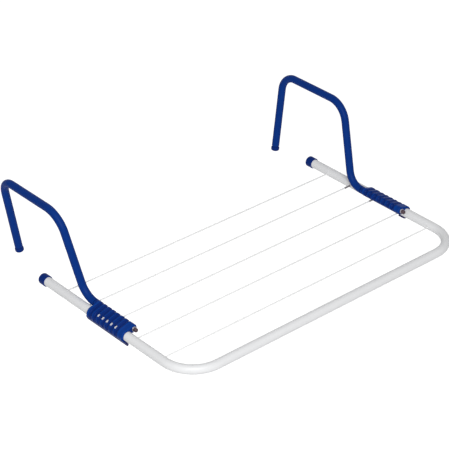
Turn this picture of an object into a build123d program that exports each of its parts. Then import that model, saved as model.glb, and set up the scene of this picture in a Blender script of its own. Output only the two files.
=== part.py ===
from build123d import *
import os
from math import acos, atan2, cos, degrees, hypot, radians, sin, sqrt, tan

# Hook-over clothes airer for a balcony rail or a radiator.
# A steel tube bent into a U carries five taut drying wires between its arms.
# On each arm sits a moulded clip that slides along the tube.
# The clip holds a bent hook rod in a plastic sleeve, and the hook swivels in it.
#
# Frame: millimetres, +Z up, +X along the front bar, -Y towards the front bar.
# Origin: midway between the rear faces of the two arm caps, level with the arms' axes.

# ---------------------------------------------------------------- frame tube
TUBE_OD = 14.0
TUBE_WALL = 1.0
ARM_SPACING = 522.0        # between the axes of the two arms
FRAME_DEPTH = 324.0        # from the caps' rear faces to the front bar's axis
CORNER_RADIUS = 50.0       # axis radius of the two front corners

# -------------------------------------------------------------- drying wires
WIRE_OD = 2.2
WIRE_SETBACKS = (50.5, 100.5, 154.0, 207.5, 266.0)   # behind-to-front, from the caps' rear faces
WIRE_HOLE_CLEARANCE = 0.2  # radial, in the arm's inner wall
FERRULE_OD = 4.6
FERRULE_LENGTH = 3.5
FERRULE_CRIMP_GAP = 0.02   # radial, ferrule on wire
FERRULE_SEAT_GAP = 0.1     # ferrule rim to the tube's bore
WIRE_STUB = 0.8            # wire end past the ferrule

# ------------------------------------------------------------------ arm caps
CAP_OD = 16.8
CAP_COVER = 11.0           # length that covers the tube
CAP_END = 2.5              # thickness of the closed end
CAP_EDGE = 3.0             # rounding of the closed end
CAP_FIT = 0.05             # radial, cap on and in the tube
CAP_SPIGOT_WALL = 1.6
CAP_SPIGOT_LENGTH = 9.0

# --------------------------------------------------------------------- hooks
ROD_OD = 6.0
SLEEVE_OD = 12.0
SLEEVE_FIT = 0.05          # radial, sleeve on rod
HOOK_HEIGHT = 121.2        # top bar's axis above the lower leg's axis
HOOK_SPAN = 134.5          # between the two upper bends' corner points
RISER_LEAN = 16.9          # degrees, riser tilted back from square to the leg
DROP_LEAN = 1.6            # degrees, drop leg tilted forward
DROP_TOE = 2.5             # degrees, drop leg tilted inwards
DROP_LENGTH = 120.5        # from the top bar's axis to the end of the sleeve
LOWER_BEND = 28.4          # axis radii of the three bends
FRONT_BEND = 37.2
REAR_BEND = 23.6
LEG_STRAIGHT = 1.6         # straight sleeve between the clip and the lower bend
HOOK_LEAN = 6.3            # degrees, each hook leans outwards at rest
SLEEVE_END_GAP = 0.3       # axial, sleeve to clip

# ------------------------------------------------------------ hook end plugs
PLUG_OD = 13.4             # rounded band at the very end
PLUG_NECK_OD = 11.4        # where the head meets the sleeve
PLUG_HEAD = 8.4            # length of the head
PLUG_BAND = 3.6            # length of the band
PLUG_FLARE = 1.4           # length of the cone from neck to band
PLUG_EDGE = 2.2            # rounding of the end
PLUG_SPIGOT_LENGTH = 9.0   # inside the sleeve
PLUG_SPIGOT_FIT = 0.03     # radial, spigot in sleeve
PLUG_ROD_GAP = 1.0         # axial, rod end to spigot

# --------------------------------------------------------------------- clips
CLIP_LENGTH = 84.0
CLIP_SETBACK = {"left": 111.0, "right": 131.0}   # clip's rear face from the caps' rear faces
ROD_INSET = 11.3           # hook rod's axis, inwards of the arm's axis
ROD_RISE = 7.5             # hook rod's axis, above the arm's axis
CLIP_TUBE_GAP = 0.12       # radial, clip on tube
CLIP_ROD_GAP = 0.08        # radial, clip on rod
TUBE_LOBE_WALL = 1.7       # under the grooves
ROD_LOBE_WALL = 1.7        # under the grooves
RIB_HEIGHT = 1.2           # crests and smooth bands stand this far above the grooves
MOUTH_LEVEL = 1.7          # inner edge of the lower mouth, above the arm's axis
MOUTH_OUTER = 228.0        # degrees, outer edge of the lower mouth
LIP_REACH = 4.0            # length of the flared lip
LIP_THICKNESS = 2.2
LIP_FLARE = 35.0           # degrees, the lip opens away from the tube
LIP_TAB = 7.5              # the lip stands in front of the clip's front face
LIP_CORNER = 3.0           # rounding of the lip's two outer corners
CLIP_EDGE = 2.0            # rounding of the clip's two ends
LOBE_STEP = 4.0            # from the rod lobe's rear face to the tube lobe's
GROOVE_COUNT = 7
RIB_PITCH = 9.4            # from groove to groove
FIRST_GROOVE = 13.2        # middle of the rearmost groove, from the clip's rear face
GROOVE_FLOOR = 2.6         # width at the bottom
GROOVE_TOP = 5.4           # width between two crests
GROOVE_START = -18.0       # degrees about the rod's axis, on the inner side
GROOVE_STOP = 197.0        # degrees about the arm's axis, on the outer side
WINDOW_COUNT = 5
FIRST_WINDOW = 26.6        # middle of the rearmost window, from the clip's rear face
WINDOW_LENGTH = 5.4        # along the arm
WINDOW_HEIGHT = 5.0        # round the lobe
WINDOW_ANGLE = 122.0       # degrees, from inwards towards up

# -------------------------------------------------------------- rod retainers
RETAINER_OD = 7.2
RETAINER_LENGTH = 1.4
RETAINER_EDGE = 0.3
RETAINER_FIT = 0.02        # radial, retainer on rod
RETAINER_GAP = 0.3         # axial, retainer to clip
ROD_TIP = 6.5              # rod past the clip's front face
ROD_TIP_EDGE = 1.0

# ------------------------------------------------------------- derived values
TUBE_R = TUBE_OD / 2
TUBE_BORE_R = TUBE_R - TUBE_WALL
ROD_R = ROD_OD / 2
SLEEVE_R = SLEEVE_OD / 2
SLEEVE_BORE_R = ROD_R + SLEEVE_FIT
ARM_X = ARM_SPACING / 2
TUBE_LOBE_BORE_R = TUBE_R + CLIP_TUBE_GAP
TUBE_LOBE_R = TUBE_LOBE_BORE_R + TUBE_LOBE_WALL
ROD_BORE_R = ROD_R + CLIP_ROD_GAP
ROD_LOBE_R = ROD_BORE_R + ROD_LOBE_WALL
SIDES = ("left", "right")


def from_arm(part, side, along=0.0):
    """Set a part made beside an arm (+X inwards, arm axis on Y) on the left or right arm."""
    if side == "left":
        return Pos(-ARM_X, along, 0) * part
    return Pos(ARM_X, along, 0) * mirror(part, about=Plane.YZ)


def disc_along_y(radius, start, end):
    """Round bar on the Y axis from start to end."""
    return Plane((0, start, 0), z_dir=(0, 1, 0)) * extrude(Circle(radius), end - start)


def turned_about_y(points, edges_to_round=()):
    """Body of revolution about Y from (radius, y) points; rounds the listed corners."""
    outline = make_face(Polyline(*[(r, y) for r, y in points], close=True))
    for corner, radius in edges_to_round:
        near = outline.vertices().sort_by_distance((corner[0], corner[1], 0))[0]
        outline = fillet(near, radius)
    return revolve(outline, Axis.Y)


# ----------------------------------------------------------------------- frame
def frame_path():
    """Axis of the U tube, from the left arm's rear end round to the right arm's."""
    rear = -CAP_END
    front = -FRAME_DEPTH
    corners = [(-ARM_X, rear, 0), (-ARM_X, front, 0), (ARM_X, front, 0), (ARM_X, rear, 0)]
    return FilletPolyline(*corners, radius=CORNER_RADIUS)


def make_frame_tube():
    """U tube with a wire hole through each arm's inner wall at every wire."""
    path = frame_path()
    ring = Circle(TUBE_R) - Circle(TUBE_BORE_R)
    tube = sweep(Plane(path @ 0, z_dir=path % 0) * ring, path)
    hole_r = WIRE_OD / 2 + WIRE_HOLE_CLEARANCE
    for setback in WIRE_SETBACKS:
        reach = Plane((-ARM_X, -setback, 0), z_dir=(1, 0, 0))
        tube -= reach * extrude(Circle(hole_r), ARM_SPACING)
    return tube


# ----------------------------------------------------------------------- wires
def ferrule_seat():
    """Distance from the arm's axis at which the ferrule's flat rim meets the tube's bore."""
    return sqrt(TUBE_BORE_R**2 - (FERRULE_OD / 2)**2) - FERRULE_SEAT_GAP


def make_wire(setback):
    """Straight wire between the arms, headed by a ferrule inside each tube."""
    half = ARM_X - ferrule_seat() + FERRULE_LENGTH + WIRE_STUB
    start = Plane((-half, -setback, 0), z_dir=(1, 0, 0))
    return start * extrude(Circle(WIRE_OD / 2), 2 * half)


def make_ferrules():
    """Both crimped ferrules of every wire."""
    ring = Circle(FERRULE_OD / 2) - Circle(WIRE_OD / 2 + FERRULE_CRIMP_GAP)
    ferrules = []
    for setback in WIRE_SETBACKS:
        for direction in (-1, 1):
            inner = direction * (ARM_X - ferrule_seat())
            plane = Plane((inner, -setback, 0), z_dir=(direction, 0, 0))
            ferrules.append(plane * extrude(ring, FERRULE_LENGTH))
    return ferrules


# -------------------------------------------------------------------- arm caps
def make_arm_cap():
    """Push-on cap: a domed cup over the tube's end with a hollow spigot inside the tube."""
    rim = -CAP_END - CAP_COVER
    cup = turned_about_y(
        [(0, 0), (CAP_OD / 2, 0), (CAP_OD / 2, rim), (TUBE_R + CAP_FIT, rim),
         (TUBE_R + CAP_FIT, -CAP_END), (0, -CAP_END)],
        [((CAP_OD / 2, 0), CAP_EDGE)],
    )
    spigot_r = TUBE_BORE_R - CAP_FIT
    spigot = disc_along_y(spigot_r, -CAP_END - CAP_SPIGOT_LENGTH, -CAP_END)
    spigot -= disc_along_y(spigot_r - CAP_SPIGOT_WALL, -CAP_END - CAP_SPIGOT_LENGTH, -CAP_END)
    return cup + spigot


# ----------------------------------------------------------------------- clips
def clip_outline():
    """Closed outline drawn tight round the crests of the tube lobe and the rod lobe."""
    tube_lobe = Circle(TUBE_LOBE_R + RIB_HEIGHT)
    rod_lobe = Pos(ROD_INSET, ROD_RISE) * Circle(ROD_LOBE_R + RIB_HEIGHT)
    return make_hull(tube_lobe.edges() + rod_lobe.edges())


def clip_mouth():
    """Open side of the clip: below the rod lobe and out to the lip."""
    reach = 4 * TUBE_OD
    steps = [MOUTH_OUTER + (360 - MOUTH_OUTER) * i / 3 for i in range(4)]
    rim = [(reach * cos(radians(a)), reach * sin(radians(a))) for a in steps]
    return make_face(Polyline((0, MOUTH_LEVEL), (0, 0), *rim, (reach, MOUTH_LEVEL), close=True))


def make_lip():
    """Flared lip along the outer edge of the mouth, its two outer corners rounded."""
    middle = TUBE_LOBE_BORE_R + LIP_THICKNESS / 2
    angle = radians(MOUTH_OUTER)
    heading = MOUTH_OUTER + 90 - LIP_FLARE
    length = CLIP_LENGTH + LIP_TAB
    width = LIP_REACH + LIP_THICKNESS
    bar = Pos(LIP_REACH / 2, 0) * extrude(SlotOverall(width, LIP_THICKNESS), length)
    plate = Rot(90, 0, 0) * extrude(
        Pos(0, length / 2) * RectangleRounded(2 * width - LIP_THICKNESS, length, LIP_CORNER),
        LIP_THICKNESS, both=True)
    lip = bar & plate
    return Pos(cos(angle) * middle, sin(angle) * middle) * Rot(0, 0, heading) * lip


def in_clip_section(part, start):
    """Set a part drawn in the clip's section (X inwards, Y up, Z to the front) on the arm."""
    return Plane((0, -start, 0), x_dir=(1, 0, 0), z_dir=(0, -1, 0)) * part


def groove_line():
    """Bottom line of a groove: round the rod lobe, straight across, round the tube lobe."""
    between_axes = hypot(ROD_INSET, ROD_RISE)
    slope = degrees(atan2(ROD_RISE, ROD_INSET))
    square = slope + degrees(acos((TUBE_LOBE_R - ROD_LOBE_R) / between_axes))
    round_rod = CenterArc((ROD_INSET, ROD_RISE), ROD_LOBE_R, GROOVE_START, square - GROOVE_START)
    round_tube = CenterArc((0, 0), TUBE_LOBE_R, square, GROOVE_STOP - square)
    return Wire([round_rod, Line(round_rod @ 1, round_tube @ 0), round_tube])


def make_groove():
    """Solid that cuts one groove between two ribs, its middle at the section plane."""
    line = groove_line()
    proud = 0.5
    slant = (GROOVE_TOP - GROOVE_FLOOR) / 2 * (RIB_HEIGHT + proud) / RIB_HEIGHT
    floor = GROOVE_FLOOR / 2
    top = floor + slant
    profile = make_face(Polyline(
        (-floor, 0), (floor, 0), (top, RIB_HEIGHT + proud), (-top, RIB_HEIGHT + proud), close=True))
    return sweep(Plane(line @ 0, x_dir=(0, 0, 1), z_dir=line % 0) * profile, line)


def make_clip():
    """Spring clip: ribbed double lobe, open below for the wires, with windows over the tube."""
    rod_place = Pos(ROD_INSET, ROD_RISE)
    body = in_clip_section(extrude(clip_outline(), CLIP_LENGTH - LOBE_STEP), LOBE_STEP)
    ends = body.faces().sort_by(Axis.Y)
    body = fillet(ends[0].edges() + ends[-1].edges(), CLIP_EDGE)
    boss = in_clip_section(extrude(rod_place * Circle(ROD_LOBE_R + RIB_HEIGHT), 3 * LOBE_STEP), 0)
    body += fillet(boss.faces().sort_by(Axis.Y)[-1].edges(), CLIP_EDGE)

    groove = make_groove()
    for number in range(GROOVE_COUNT):
        body -= in_clip_section(groove, FIRST_GROOVE + number * RIB_PITCH)

    whole = CLIP_LENGTH + LIP_TAB
    body -= in_clip_section(extrude(clip_mouth(), CLIP_LENGTH), 0)
    body += in_clip_section(make_lip(), 0)
    body -= in_clip_section(extrude(Circle(TUBE_LOBE_BORE_R), whole), 0)
    body -= in_clip_section(extrude(rod_place * Circle(ROD_BORE_R), CLIP_LENGTH), 0)

    window = Pos(TUBE_LOBE_BORE_R, 0, 0) * Box(TUBE_OD / 2, WINDOW_LENGTH, WINDOW_HEIGHT)
    for number in range(WINDOW_COUNT):
        along = FIRST_WINDOW + number * RIB_PITCH
        body -= Pos(0, -along, 0) * Rot(0, -WINDOW_ANGLE, 0) * window
    return body


# ----------------------------------------------------------------------- hooks
def hook_corners(leg_start, drop_length):
    """Corner points of the hook's axis: (along the arm, up, inwards), clip face at 0."""
    lean = radians(RISER_LEAN)
    lower_turn = radians(90 - RISER_LEAN)
    leg_end = SLEEVE_END_GAP + LEG_STRAIGHT + LOWER_BEND * tan(lower_turn / 2)
    top_front = leg_end + HOOK_HEIGHT * tan(lean)
    top_rear = top_front + HOOK_SPAN
    drop_end = (
        top_rear - drop_length * sin(radians(DROP_LEAN)),
        HOOK_HEIGHT - drop_length * cos(radians(DROP_LEAN)),
        drop_length * sin(radians(DROP_TOE)),
    )
    return [(leg_start, 0), (leg_end, 0), (top_front, HOOK_HEIGHT), (top_rear, HOOK_HEIGHT), drop_end]


def hook_plane():
    """Plane of a hook beside its arm, leaning outwards about the rod's axis."""
    lean = radians(HOOK_LEAN)
    return Plane((ROD_INSET, 0, ROD_RISE), x_dir=(0, 1, 0), z_dir=(cos(lean), 0, sin(lean)))


def hook_path(leg_start, drop_length=DROP_LENGTH):
    """Bent axis of the hook from a point on its lower leg to the end of its drop leg."""
    radii = [LOWER_BEND, FRONT_BEND, REAR_BEND]
    bent = FilletPolyline(*hook_corners(leg_start, drop_length), radius=radii)
    return hook_plane() * bent


def bar_along(path, radius, bore=0.0):
    """Round bar or tube swept along a path."""
    section = Circle(radius)
    if bore:
        section -= Circle(bore)
    return sweep(Plane(path @ 0, z_dir=path % 0) * section, path)


def make_hook_rod():
    """Steel rod through the clip and the hook, up to the end cap's spigot."""
    drop_length = DROP_LENGTH - PLUG_SPIGOT_LENGTH - PLUG_ROD_GAP
    rod = bar_along(hook_path(-CLIP_LENGTH - ROD_TIP, drop_length), ROD_R)
    tip = rod.faces().sort_by(Axis.Y)[0]
    return fillet(tip.edges(), ROD_TIP_EDGE)


def make_hook_sleeve():
    """Plastic sleeve from the clip's rear face to the end of the drop leg."""
    return bar_along(hook_path(SLEEVE_END_GAP), SLEEVE_R, SLEEVE_BORE_R)


def make_end_cap():
    """Cap that plugs the end of the drop leg: a spigot, a slim neck and a rounded band."""
    spigot_r = SLEEVE_BORE_R - PLUG_SPIGOT_FIT
    band = PLUG_HEAD - PLUG_BAND
    head = turned_about_y(
        [(0, -PLUG_SPIGOT_LENGTH), (spigot_r, -PLUG_SPIGOT_LENGTH), (spigot_r, 0),
         (PLUG_NECK_OD / 2, 0), (PLUG_NECK_OD / 2, band - PLUG_FLARE),
         (PLUG_OD / 2, band), (PLUG_OD / 2, PLUG_HEAD), (0, PLUG_HEAD)],
        [((PLUG_OD / 2, PLUG_HEAD), PLUG_EDGE)],
    )
    path = hook_path(SLEEVE_END_GAP)
    end = Plane(path @ 1, z_dir=path % 1)
    return end * Rot(90, 0, 0) * head


def make_retainer():
    """Push-on collar that keeps the rod in the clip."""
    start = -CLIP_LENGTH - RETAINER_GAP
    collar = turned_about_y(
        [(0, start), (RETAINER_OD / 2, start), (RETAINER_OD / 2, start - RETAINER_LENGTH),
         (0, start - RETAINER_LENGTH)],
        [((RETAINER_OD / 2, start - RETAINER_LENGTH), RETAINER_EDGE)],
    )
    collar -= disc_along_y(ROD_R + RETAINER_FIT, start - RETAINER_LENGTH, start)
    return Pos(ROD_INSET, 0, ROD_RISE) * collar


# ------------------------------------------------------------------------ build
def build():
    """Every node of the airer by name."""
    nodes = {"frame_tube": make_frame_tube()}
    for number, setback in enumerate(WIRE_SETBACKS, start=1):
        nodes[f"drying_wire_{number}"] = make_wire(setback)
    nodes["wire_ferrules"] = Compound(children=make_ferrules())

    beside_arm = {
        "arm_cap": make_arm_cap(),
        "clip": make_clip(),
        "hook_rod": make_hook_rod(),
        "hook_sleeve": make_hook_sleeve(),
        "hook_end_cap": make_end_cap(),
        "rod_retainer": make_retainer(),
    }
    for side in SIDES:
        for name, part in beside_arm.items():
            along = 0.0 if name == "arm_cap" else -CLIP_SETBACK[side]
            nodes[f"{name}_{side}"] = from_arm(part, side, along)
    return nodes


def main():
    os.makedirs("parts", exist_ok=True)
    for name, part in build().items():
        export_step(part, f"parts/{name}.step")


main()
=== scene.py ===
"""Hook-over clothes airer: the detailed pieces, their finishes, the light and the camera."""

import math

import bmesh
import bpy
from mathutils import Matrix, Vector


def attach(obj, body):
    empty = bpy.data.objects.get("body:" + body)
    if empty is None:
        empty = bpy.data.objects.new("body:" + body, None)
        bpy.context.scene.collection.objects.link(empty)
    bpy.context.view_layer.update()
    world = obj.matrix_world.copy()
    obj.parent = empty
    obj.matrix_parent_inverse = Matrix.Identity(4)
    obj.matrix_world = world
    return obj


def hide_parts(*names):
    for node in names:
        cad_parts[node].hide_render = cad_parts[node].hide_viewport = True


MM = 0.001
WELD_DISTANCE = 1e-6

# The airer's own sizes are in millimetres and its angles in degrees.
# ---------------------------------------------------------------- frame and wires
TUBE_RADIUS = 7.0
TUBE_WALL = 1.0
TUBE_SIDES = 72
TUBE_STEP = 4.0            # between the rings of points along the tube
TUBE_BEND_STEPS = 32
ARM_X = 261.0              # arm's axis from the middle of the airer
FRAME_DEPTH = 324.0        # from the caps' rear faces to the front bar's axis
CORNER_RADIUS = 50.0

WIRE_SETBACKS = (50.5, 100.5, 154.0, 207.5, 266.0)   # from the caps' rear faces, rear to front
WIRE_RADIUS = 1.1
WIRE_SHORT = 1.2           # wire's end from the arm's axis
WIRE_HOLE_FIT = 0.2        # radial
WIRE_HOLE_RADIUS = WIRE_RADIUS + WIRE_HOLE_FIT
WIRE_HOLE_SIDES = 24

SHADOWED_WIRE_SETBACKS = WIRE_SETBACKS[1:3]   # two wires get a dark collar at the right arm: painted shadow and reflection of the hook and clip above
# Sizes of the dark wire collars, which stand in for painted shadow and reflection.
COLLAR_LENGTH = 11.6
COLLAR_FIT = 0.05          # radial, collar on wire
COLLAR_BORE = WIRE_RADIUS + COLLAR_FIT
COLLAR_RADIUS = 1.4
COLLAR_RIM = 1.6
COLLAR_RIM_END = 0.6
COLLAR_NECK = 1.0          # where the rim has run out into the collar
COLLAR_SEAT = 0.3          # sunk into the tube's wall
COLLAR_EDGE = 0.2
COLLAR_SIDES = 28

CAP_RADIUS = 8.4
CAP_COVER = 11.0           # length that covers the tube
CAP_END = 2.5              # thickness of the closed end, which the tube meets
CAP_EDGE = 3.0
CAP_RIM_EDGE = 0.5
CAP_FIT = 0.05             # radial, cap on and in the tube
CAP_SPIGOT = 9.0
CAP_SPIGOT_WALL = 1.6
CAP_SPIGOT_EDGE = 0.4

# ------------------------------------------------------------------------- hooks
ROD_RADIUS = 3.0
ROD_SIDES = 40
ROD_TIP = 6.5              # bare rod past the clip's front face
ROD_NOSE = 1.0             # rounding of the bare tip
NOSE_STEPS = 5
SLEEVE_RADIUS = 6.0
SLEEVE_WALL = 2.95
SLEEVE_SIDES = 56
SLEEVE_STEP = 1.5          # between the rings of points along the sleeve
SLEEVE_UNEVENNESS = 0.25
SLEEVE_WAVE = 130.0        # how close together the uneven places are
SLEEVE_TRIM = 0.06         # room for the uneven places
SLEEVE_END_GAP = 0.3       # axial, sleeve to clip
HOOK_BEND_STEPS = 28
HOOK_HEIGHT = 121.2        # top bar's axis above the lower leg's axis
HOOK_SPAN = 134.5          # between the two upper bends' corners
RISER_LEAN = 16.9
DROP_LEAN = 1.6            # drop leg tilted forward
DROP_TOE = 2.5             # drop leg tilted inwards
DROP_LENGTH = 120.5
LOWER_BEND = 28.4
FRONT_BEND = 37.2
REAR_BEND = 23.6
LEG_STRAIGHT = 1.6         # straight sleeve between the clip and the lower bend
HOOK_LEAN = 6.3            # each hook leans outwards

PLUG_RADIUS = 6.6
PLUG_NECK = 5.1
PLUG_NECK_EDGE = 0.3
PLUG_GROOVE = 1.6          # length of the neck
PLUG_GROOVE_EDGE = 0.4
PLUG_HEAD = 8.4            # length of neck and head
PLUG_BAND = 5.6            # length of the head's full width
PLUG_SHOULDER_EDGE = 1.0
PLUG_EDGE = 2.8
PLUG_FIT = 0.03            # radial, spigot in sleeve
PLUG_SPIGOT = 9.0
PLUG_SPIGOT_EDGE = 0.5
PLUG_ROD_GAP = 1.0         # axial, rod to spigot

# ------------------------------------------------------------------------- clips
CLIP_LENGTH = 84.0
CLIP_SETBACK = {"left": 111.0, "right": 131.0}   # clip's rear face from the caps' rear faces
CLIP_EDGE = 2.0            # rounding of the clip's two ends
CLIP_EDGE_STEPS = 6
CLIP_ROWS = 200            # rows of faces between the two rounded ends
ROD_INSET = 11.3           # hook rod's axis, inwards of the arm's axis
ROD_RISE = 7.5             # hook rod's axis, above the arm's axis
TUBE_FIT = 0.12            # radial, clip on tube
TUBE_BORE = TUBE_RADIUS + TUBE_FIT
TUBE_BORE_SIDES = 96
ROD_FIT = 0.08             # radial, rod in clip
ROD_BORE = ROD_RADIUS + ROD_FIT
ROD_BORE_SIDES = 48
BORE_OVERRUN = 5.0         # each boring tool past the clip's ends
LOBE_WALL = 1.7            # under the grooves
LOBE_STEP = 4.0            # from the rod lobe's rear face to the tube lobe's
OUTLINE_STEP = 0.45        # between two points round a lobe
FLANK_STEPS = 12
BOSS_INSET = 0.02          # keeps the rod boss under the lobe's skin
BOSS_SIDES = 96

RIB_HEIGHT = 1.2           # crests stand this far above the grooves
RIB_PITCH = 9.4            # from groove to groove
GROOVE_COUNT = 7
FIRST_GROOVE = 13.2        # middle of the rearmost groove, from the clip's rear face
GROOVE_FLOOR = 1.6
GROOVE_TOP = 6.0
GROOVE_START = -18.0       # about the rod's axis, on the inner side
GROOVE_START_FADE = 8.0
GROOVE_STOP = 197.0        # about the arm's axis, on the outer side
GROOVE_STOP_FADE = 6.0

MOUTH_LEVEL = 1.7          # inner edge of the lower mouth, above the arm's axis
MOUTH_OUTER = 228.0        # outer edge of the lower mouth
MOUTH_REACH = 40.0         # size of the cutting wedge
MOUTH_STEPS = 3
MOUTH_OVERRUN = 2.0

LIP_REACH = 4.0
LIP_THICKNESS = 2.2
LIP_FLARE = 35.0           # the lip opens away from the tube
LIP_TAB = 7.5              # the lip stands in front of the clip's front face
LIP_FRONT = CLIP_LENGTH + LIP_TAB
LIP_CORNER = 3.0
LIP_CORNER_STEPS = 8
LIP_END_STEPS = 12

CLAW_LENGTH = 12.0
CLAW_WALL = 2.5
CLAW_SWEEP = 76.0          # round under the tube, from the mouth's outer edge
CLAW_OVERLAP = 4.0         # rooted in the tube lobe
CLAW_CORNER = 14.0
CLAW_CORNER_STEPS = 6
CLAW_STEPS = 12

WINDOW_COUNT = 5
FIRST_WINDOW = 26.6        # middle of the rearmost window, from the clip's rear face
WINDOW_LENGTH = 5.4        # along the arm
WINDOW_HEIGHT = 5.0        # round the lobe
WINDOW_ANGLE = 122.0       # from inwards towards up
WINDOW_CORNER = 0.8
WINDOW_CORNER_STEPS = 5
WINDOW_CUT = (5.0, 14.0)   # reach of the cutting block from the arm's axis

# Marks stored on a clip's points for its painted light: -1 where a crest gets a painted highlight
# along with its rubbing wear, 1 in a groove for painted shade, and LIP_MARK for painted shade on
# the lip and the claw, which lie within LIP_SECTOR about the arm or stand in front.
LIP_MARK = 2.0
LIP_SECTOR = (MOUTH_OUTER + 1, 350.0)
CREST_SPAN = (-0.1, -0.9)   # marks over which each painted colour comes in
GROOVE_SPAN = (0.1, 0.9)
LIP_SPAN = (1.1, 1.9)
CREST_START = 0.55         # where a crest begins, as a share of GROOVE_TOP
END_HIGHLIGHT_AND_RUB = 0.6              # how strongly the clip's plain ends get the crests' painted highlight and rub
END_HIGHLIGHT_AND_RUB_SPAN = (0.55, 0.9)  # where that sets in, as shares of RIB_PITCH

SIDES = {"left": -1, "right": 1}

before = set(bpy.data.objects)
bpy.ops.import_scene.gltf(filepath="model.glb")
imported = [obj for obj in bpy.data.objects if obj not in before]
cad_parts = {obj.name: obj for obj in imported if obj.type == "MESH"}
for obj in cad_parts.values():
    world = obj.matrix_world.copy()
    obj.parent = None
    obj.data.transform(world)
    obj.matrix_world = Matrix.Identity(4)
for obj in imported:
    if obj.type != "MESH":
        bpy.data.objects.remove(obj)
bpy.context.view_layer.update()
scene = bpy.context.scene


# ------------------------------------------------------------------ node helpers
def feed(tree, socket, value):
    """Set a socket to a value, or link another node's output to it."""
    if isinstance(value, bpy.types.NodeSocket):
        tree.links.new(value, socket)
    else:
        socket.default_value = value


def put(tree, kind, inputs=(), **settings):
    """Add a node; inputs are (socket, value or another node's output)."""
    node = tree.nodes.new(kind)
    for name, value in settings.items():
        setattr(node, name, value)
    for socket, value in inputs:
        feed(tree, node.inputs[socket], value)
    return node


def maths(tree, operation, *values):
    """Result of a maths operation on the given values."""
    return put(tree, "ShaderNodeMath", enumerate(values), operation=operation).outputs[0]


def mapped(tree, value, span, result=(0.0, 1.0), **settings):
    """Value carried over from one span to another and held at both ends."""
    node = put(tree, "ShaderNodeMapRange",
               [("Value", value), ("From Min", span[0]), ("From Max", span[1]),
                ("To Min", result[0]), ("To Max", result[1])], **settings)
    return node.outputs[0]


def stored(tree, name):
    """Number that a geometry tree's mesh carries on its points."""
    node = put(tree, "GeometryNodeInputNamedAttribute", [("Name", name)], data_type="FLOAT")
    return node.outputs[0]


def open_tree(name, kind, inputs, outputs):
    """Node group with named sockets; gives the tree, its inputs and its output node."""
    tree = bpy.data.node_groups.new(name, kind)
    for label, socket_type, value in inputs:
        socket = tree.interface.new_socket(label, in_out="INPUT", socket_type=socket_type)
        if value is not None:
            socket.default_value = value
    for label, socket_type in outputs:
        tree.interface.new_socket(label, in_out="OUTPUT", socket_type=socket_type)
    return tree, tree.nodes.new("NodeGroupInput").outputs, tree.nodes.new("NodeGroupOutput")


GEOMETRY = ("Geometry", "NodeSocketGeometry")


def shape_tree(name, inputs):
    """Geometry node group with the given sizes, plus its geometry and its material."""
    sockets = [(*GEOMETRY, None), *inputs, ("Material", "NodeSocketMaterial", None)]
    return open_tree(name, "GeometryNodeTree", sockets, [GEOMETRY])


def close_tree(tree, given, leave, geometry):
    """End a geometry tree: real meshes that carry the piece's material."""
    real = put(tree, "GeometryNodeRealizeInstances", [("Geometry", geometry)])
    coated = put(tree, "GeometryNodeSetMaterial",
                 [("Geometry", real.outputs[0]), ("Material", given["Material"])])
    tree.links.new(coated.outputs[0], leave.inputs[0])


def grow(blank, tree, sizes, wall=0.0):
    """Run a geometry tree on a blank, thicken it if asked, and give the plain mesh."""
    helper = bpy.data.objects.new("blank", blank)
    scene.collection.objects.link(helper)
    modifier = helper.modifiers.new("shape", "NODES")
    modifier.node_group = tree
    for item in tree.interface.items_tree:
        if item.in_out == "INPUT" and item.name in sizes:
            modifier[item.identifier] = sizes[item.name]
    mesh = settled(helper)
    helper.modifiers.remove(modifier)
    if wall:
        helper.data = mesh
        thick = helper.modifiers.new("wall", "SOLIDIFY")
        thick.thickness = wall
        thick.offset = -1
        mesh = settled(helper)
        helper.modifiers.remove(thick)
    bpy.data.objects.remove(helper)
    return mesh


def settled(helper):
    """Plain mesh of an object as its modifiers leave it, welded and facing outwards."""
    helper.update_tag()
    scene.view_layers[0].update()
    ready = helper.evaluated_get(bpy.context.evaluated_depsgraph_get())
    mesh = bpy.data.meshes.new_from_object(ready)
    return faced(mesh)


def faced(mesh):
    """Weld a mesh's doubles and turn its faces outwards."""
    work = bmesh.new()
    work.from_mesh(mesh)
    bmesh.ops.remove_doubles(work, verts=work.verts, dist=WELD_DISTANCE)
    bmesh.ops.recalc_face_normals(work, faces=work.faces)
    work.to_mesh(mesh)
    work.free()
    return mesh


def mesh_of(name, points, faces, edges=()):
    """Mesh from points in millimetres."""
    mesh = bpy.data.meshes.new(name)
    mesh.from_pydata([Vector(p) * MM for p in points], list(edges), list(faces))
    return mesh


def through_rings(name, rings):
    """Mesh through rings that have the same number of points each, closed at both ends."""
    count = len(rings[0])
    last = (len(rings) - 1) * count
    faces = [tuple(range(count)), tuple(range(last, last + count))]
    for here in range(0, last, count):
        there = here + count
        for index in range(count):
            following = (index + 1) % count
            faces.append((here + index, here + following, there + following, there + index))
    return mesh_of(name, [point for ring in rings for point in ring], faces)


def solid(name, rings):
    """Closed, outward-facing mesh through rings of points."""
    return faced(through_rings(name, rings))


def quarter_turn(steps):
    """Angles from nothing to a right angle in equal steps, in radians."""
    return [math.pi / 2 * step / steps for step in range(steps + 1)]


def polar(degrees, reach=1.0):
    """Place in a section at an angle and a distance from the section's origin."""
    turn = math.radians(degrees)
    return (reach * math.cos(turn), reach * math.sin(turn))


def give(mesh, name, values):
    """Store one number on every point of a mesh."""
    mesh.attributes.new(name, "FLOAT", "POINT").data.foreach_set("value", values)


def carve(mesh, operation, tool):
    """Join or cut a mesh with one closed tool mesh."""
    body = bpy.data.objects.new("carved", mesh)
    other = bpy.data.objects.new("tool", tool)
    for each in (body, other):
        scene.collection.objects.link(each)
    modifier = body.modifiers.new("carve", "BOOLEAN")
    modifier.operation = operation
    modifier.solver = "EXACT"
    modifier.object = other
    result = settled(body)
    for each in (body, other):
        bpy.data.objects.remove(each)
    return result


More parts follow.
